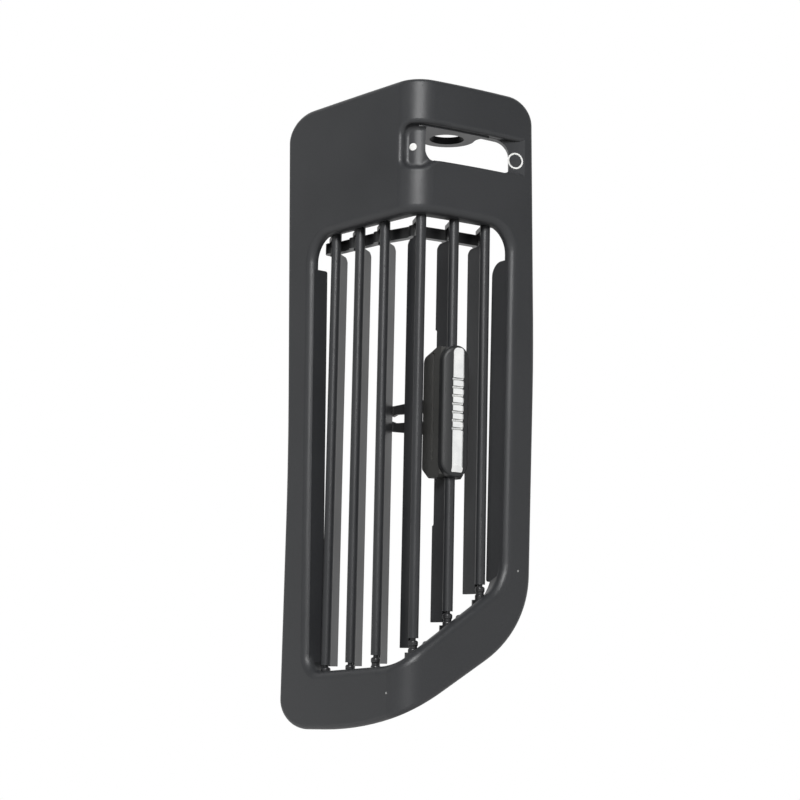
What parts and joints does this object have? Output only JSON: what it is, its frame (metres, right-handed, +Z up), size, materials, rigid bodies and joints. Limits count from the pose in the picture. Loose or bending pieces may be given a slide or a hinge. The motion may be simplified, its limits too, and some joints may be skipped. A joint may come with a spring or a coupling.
{
  "type": "b-pillar air vent",
  "caption": "Upright wrapped car pillar air vent: folded black trim frame with a tapered opening, linked vertical vanes, a sliding bright-striped knob and a finger scoop with window above.",
  "frame": {"origin": "crease of the pillar seat, 8 mm behind the trim's front crease, at half the trim's height", "axes": "+Z up along the vane axes, +X to the right seen from the cabin, +Y back into the pillar; the front faces -Y"},
  "size_m": [0.0882, 0.0702, 0.2201],
  "materials": {
    "trim_plastic": "fine-grained matte black",
    "vane_plastic": "satin black",
    "rail_plastic": "satin black",
    "bush_plastic": "satin dark grey",
    "knob_soft": "soft matte black",
    "chrome_plate": "bright satin plated",
    "rubber": "matte black"
  },
  "bodies": {
    "frame": {"bezel": "trim_plastic", "top_rail": "rail_plastic", "bottom_rail": "rail_plastic", "pin_bush_1": "bush_plastic", "pin_bush_2": "bush_plastic", "pin_bush_3": "bush_plastic", "pin_bush_4": "bush_plastic", "pin_bush_5": "bush_plastic", "pin_bush_6": "bush_plastic"},
    "vane_1": {"vane_1": "vane_plastic"},
    "vane_2": {"vane_2": "vane_plastic"},
    "vane_3": {"vane_3": "vane_plastic"},
    "vane_4": {"vane_4": "vane_plastic"},
    "vane_5": {"vane_5": "vane_plastic"},
    "vane_6": {"vane_6": "vane_plastic"},
    "link": {"link_bar": "rail_plastic"},
    "knob": {"knob_body": "vane_plastic", "knob_grip": "knob_soft", "knob_trim": "chrome_plate", "knob_fork": "rail_plastic", "friction_pad": "rubber"}
  },
  "joints": [
    {"name": "vane_1_turn", "type": "hinge", "parent": "frame", "child": "vane_1", "pos_m": [-0.02824, 0.02895, 0], "axis": [0, 0, 1], "range_deg": [-40, 1.5]},
    {"name": "vane_2_turn", "type": "hinge", "parent": "frame", "child": "vane_2", "pos_m": [-0.01957, 0.01878, 0], "axis": [0, 0, 1], "range_deg": [-40, 1.5]},
    {"name": "vane_3_turn", "type": "hinge", "parent": "frame", "child": "vane_3", "pos_m": [-0.01082, 0.00869, 0], "axis": [0, 0, 1], "range_deg": [-40, 1.5]},
    {"name": "vane_4_turn", "type": "hinge", "parent": "frame", "child": "vane_4", "pos_m": [0.00142, -0.00196, 0], "axis": [0, 0, 1], "range_deg": [-40, 1.5]},
    {"name": "vane_5_turn", "type": "hinge", "parent": "frame", "child": "vane_5", "pos_m": [0.01273, 0.00463, 0], "axis": [0, 0, 1], "range_deg": [-40, 1.5]},
    {"name": "vane_6_turn", "type": "hinge", "parent": "frame", "child": "vane_6", "pos_m": [0.02364, 0.01184, 0], "axis": [0, 0, 1], "range_deg": [-40, 1.5]},
    {"name": "link_swing", "type": "hinge", "parent": "vane_5", "child": "link", "pos_m": [0.01127, 0.01249, 0.057], "axis": [0, 0, 1], "range_deg": [-1.5, 40]},
    {"name": "knob_slide", "type": "slide", "parent": "vane_5", "child": "knob", "axis": [0, 0, 1], "range_m": [-0.016, 0.01]}
  ],
  "couplings": [
    {"joint": "vane_1_turn", "follows": "vane_5_turn", "ratio": 1},
    {"joint": "vane_2_turn", "follows": "vane_5_turn", "ratio": 1},
    {"joint": "vane_3_turn", "follows": "vane_5_turn", "ratio": 1},
    {"joint": "vane_4_turn", "follows": "vane_5_turn", "ratio": 1},
    {"joint": "vane_6_turn", "follows": "vane_5_turn", "ratio": 1},
    {"joint": "link_swing", "follows": "vane_5_turn", "ratio": -1}
  ]
}
